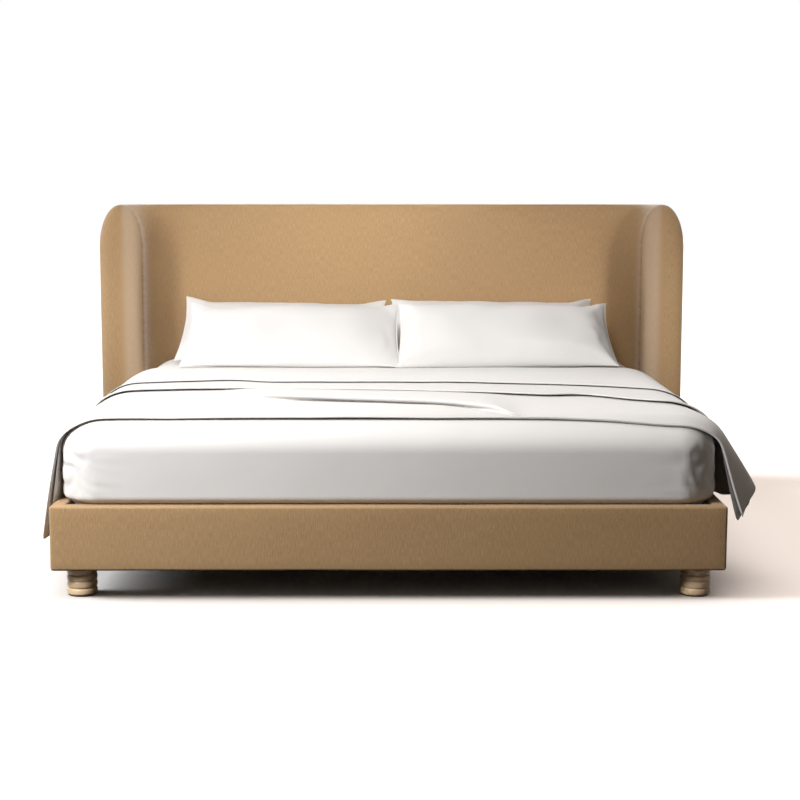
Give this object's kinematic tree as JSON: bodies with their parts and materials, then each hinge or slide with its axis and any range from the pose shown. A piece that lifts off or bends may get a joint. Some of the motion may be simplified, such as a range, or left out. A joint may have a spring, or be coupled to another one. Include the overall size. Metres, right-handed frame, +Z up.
{
  "type": "upholstered headboard bed",
  "caption": "Low upholstered platform bed with a tall wraparound wingback headboard, turned wooden feet, slatted base, mattress, white bedding and reclining pillows.",
  "frame": {"origin": "on the floor, at the middle of the bed's footprint", "axes": "+Z up, +Y towards the headboard, +X to the right seen from the foot"},
  "size_m": [2.4, 2.21, 1.17],
  "materials": {
    "turned_oak": "satin",
    "dark_plastic": "matte",
    "zinc_steel": "satin",
    "black_steel": "satin",
    "foam": "matte",
    "upholstery_fabric": "matte",
    "wing_facing_fabric": "matte",
    "plywood": "matte",
    "mattress_ticking": "matte",
    "sheet_cotton": "matte",
    "blanket_cotton": "matte",
    "pillow_cotton": "matte",
    "pillow_fill": "matte",
    "pine": "matte"
  },
  "bodies": {
    "bedstead": {"foot_front_left": "turned_oak", "foot_front_right": "turned_oak", "foot_rear_left": "turned_oak", "foot_rear_right": "turned_oak", "foot_pads": "dark_plastic", "foot_bolts": "zinc_steel", "foot_rail_core": "pine", "foot_rail_foam": "foam", "foot_rail_cover": "upholstery_fabric", "left_rail_core": "pine", "left_rail_foam": "foam", "left_rail_cover": "upholstery_fabric", "right_rail_core": "pine", "right_rail_foam": "foam", "right_rail_cover": "upholstery_fabric", "corner_blocks": "pine", "corner_bolts": "zinc_steel", "rail_end_plates": "black_steel", "plate_bolts": "zinc_steel", "left_ledger": "pine", "right_ledger": "pine", "ledger_screws": "zinc_steel", "slats": "pine", "slat_screws": "zinc_steel", "centre_beam": "pine", "beam_hangers": "black_steel", "centre_legs": "pine", "headboard_sill": "pine", "headboard_posts": "pine", "headboard_top_rail": "pine", "headboard_mid_rails": "pine", "headboard_face_board": "plywood", "headboard_back_board": "plywood", "headboard_foam": "foam", "left_wing_frame": "plywood", "right_wing_frame": "plywood", "left_wing_foam": "foam", "right_wing_foam": "foam", "left_corner_foam": "foam", "right_corner_foam": "foam", "headboard_inside_cover": "upholstery_fabric", "headboard_outside_cover": "upholstery_fabric", "left_wing_facing": "wing_facing_fabric", "right_wing_facing": "wing_facing_fabric"},
    "made_mattress": {"mattress": "mattress_ticking", "fitted_sheet": "sheet_cotton", "top_sheet": "sheet_cotton", "blanket": "blanket_cotton"},
    "left_back_pillow_body": {"left_back_pillow": "pillow_fill", "left_back_pillowcase": "pillow_cotton"},
    "left_front_pillow_body": {"left_front_pillow": "pillow_fill", "left_front_pillowcase": "pillow_cotton"},
    "right_back_pillow_body": {"right_back_pillow": "pillow_fill", "right_back_pillowcase": "pillow_cotton"},
    "right_front_pillow_body": {"right_front_pillow": "pillow_fill", "right_front_pillowcase": "pillow_cotton"},
    "glide_1": {"centre_glide_1": "dark_plastic"},
    "glide_2": {"centre_glide_2": "dark_plastic"},
    "glide_3": {"centre_glide_3": "dark_plastic"}
  },
  "joints": [
    {"name": "mattress_lift", "type": "slide", "parent": "bedstead", "child": "made_mattress", "axis": [0, 0, 1], "range_m": [0, 0.3]},
    {"name": "left_back_pillow_lift", "type": "slide", "parent": "made_mattress", "child": "left_back_pillow_body", "axis": [0, 0, 1], "range_m": [0, 0.25]},
    {"name": "left_front_pillow_lift", "type": "slide", "parent": "left_back_pillow_body", "child": "left_front_pillow_body", "axis": [0, 0, 1], "range_m": [0, 0.25]},
    {"name": "right_back_pillow_lift", "type": "slide", "parent": "made_mattress", "child": "right_back_pillow_body", "axis": [0, 0, 1], "range_m": [0, 0.25]},
    {"name": "right_front_pillow_lift", "type": "slide", "parent": "right_back_pillow_body", "child": "right_front_pillow_body", "axis": [0, 0, 1], "range_m": [0, 0.25]},
    {"name": "glide_1_screw", "type": "slide", "parent": "bedstead", "child": "glide_1", "axis": [0, 0, -1], "range_m": [0, 0.012]},
    {"name": "glide_2_screw", "type": "slide", "parent": "bedstead", "child": "glide_2", "axis": [0, 0, -1], "range_m": [0, 0.012]},
    {"name": "glide_3_screw", "type": "slide", "parent": "bedstead", "child": "glide_3", "axis": [0, 0, -1], "range_m": [0, 0.012]}
  ]
}
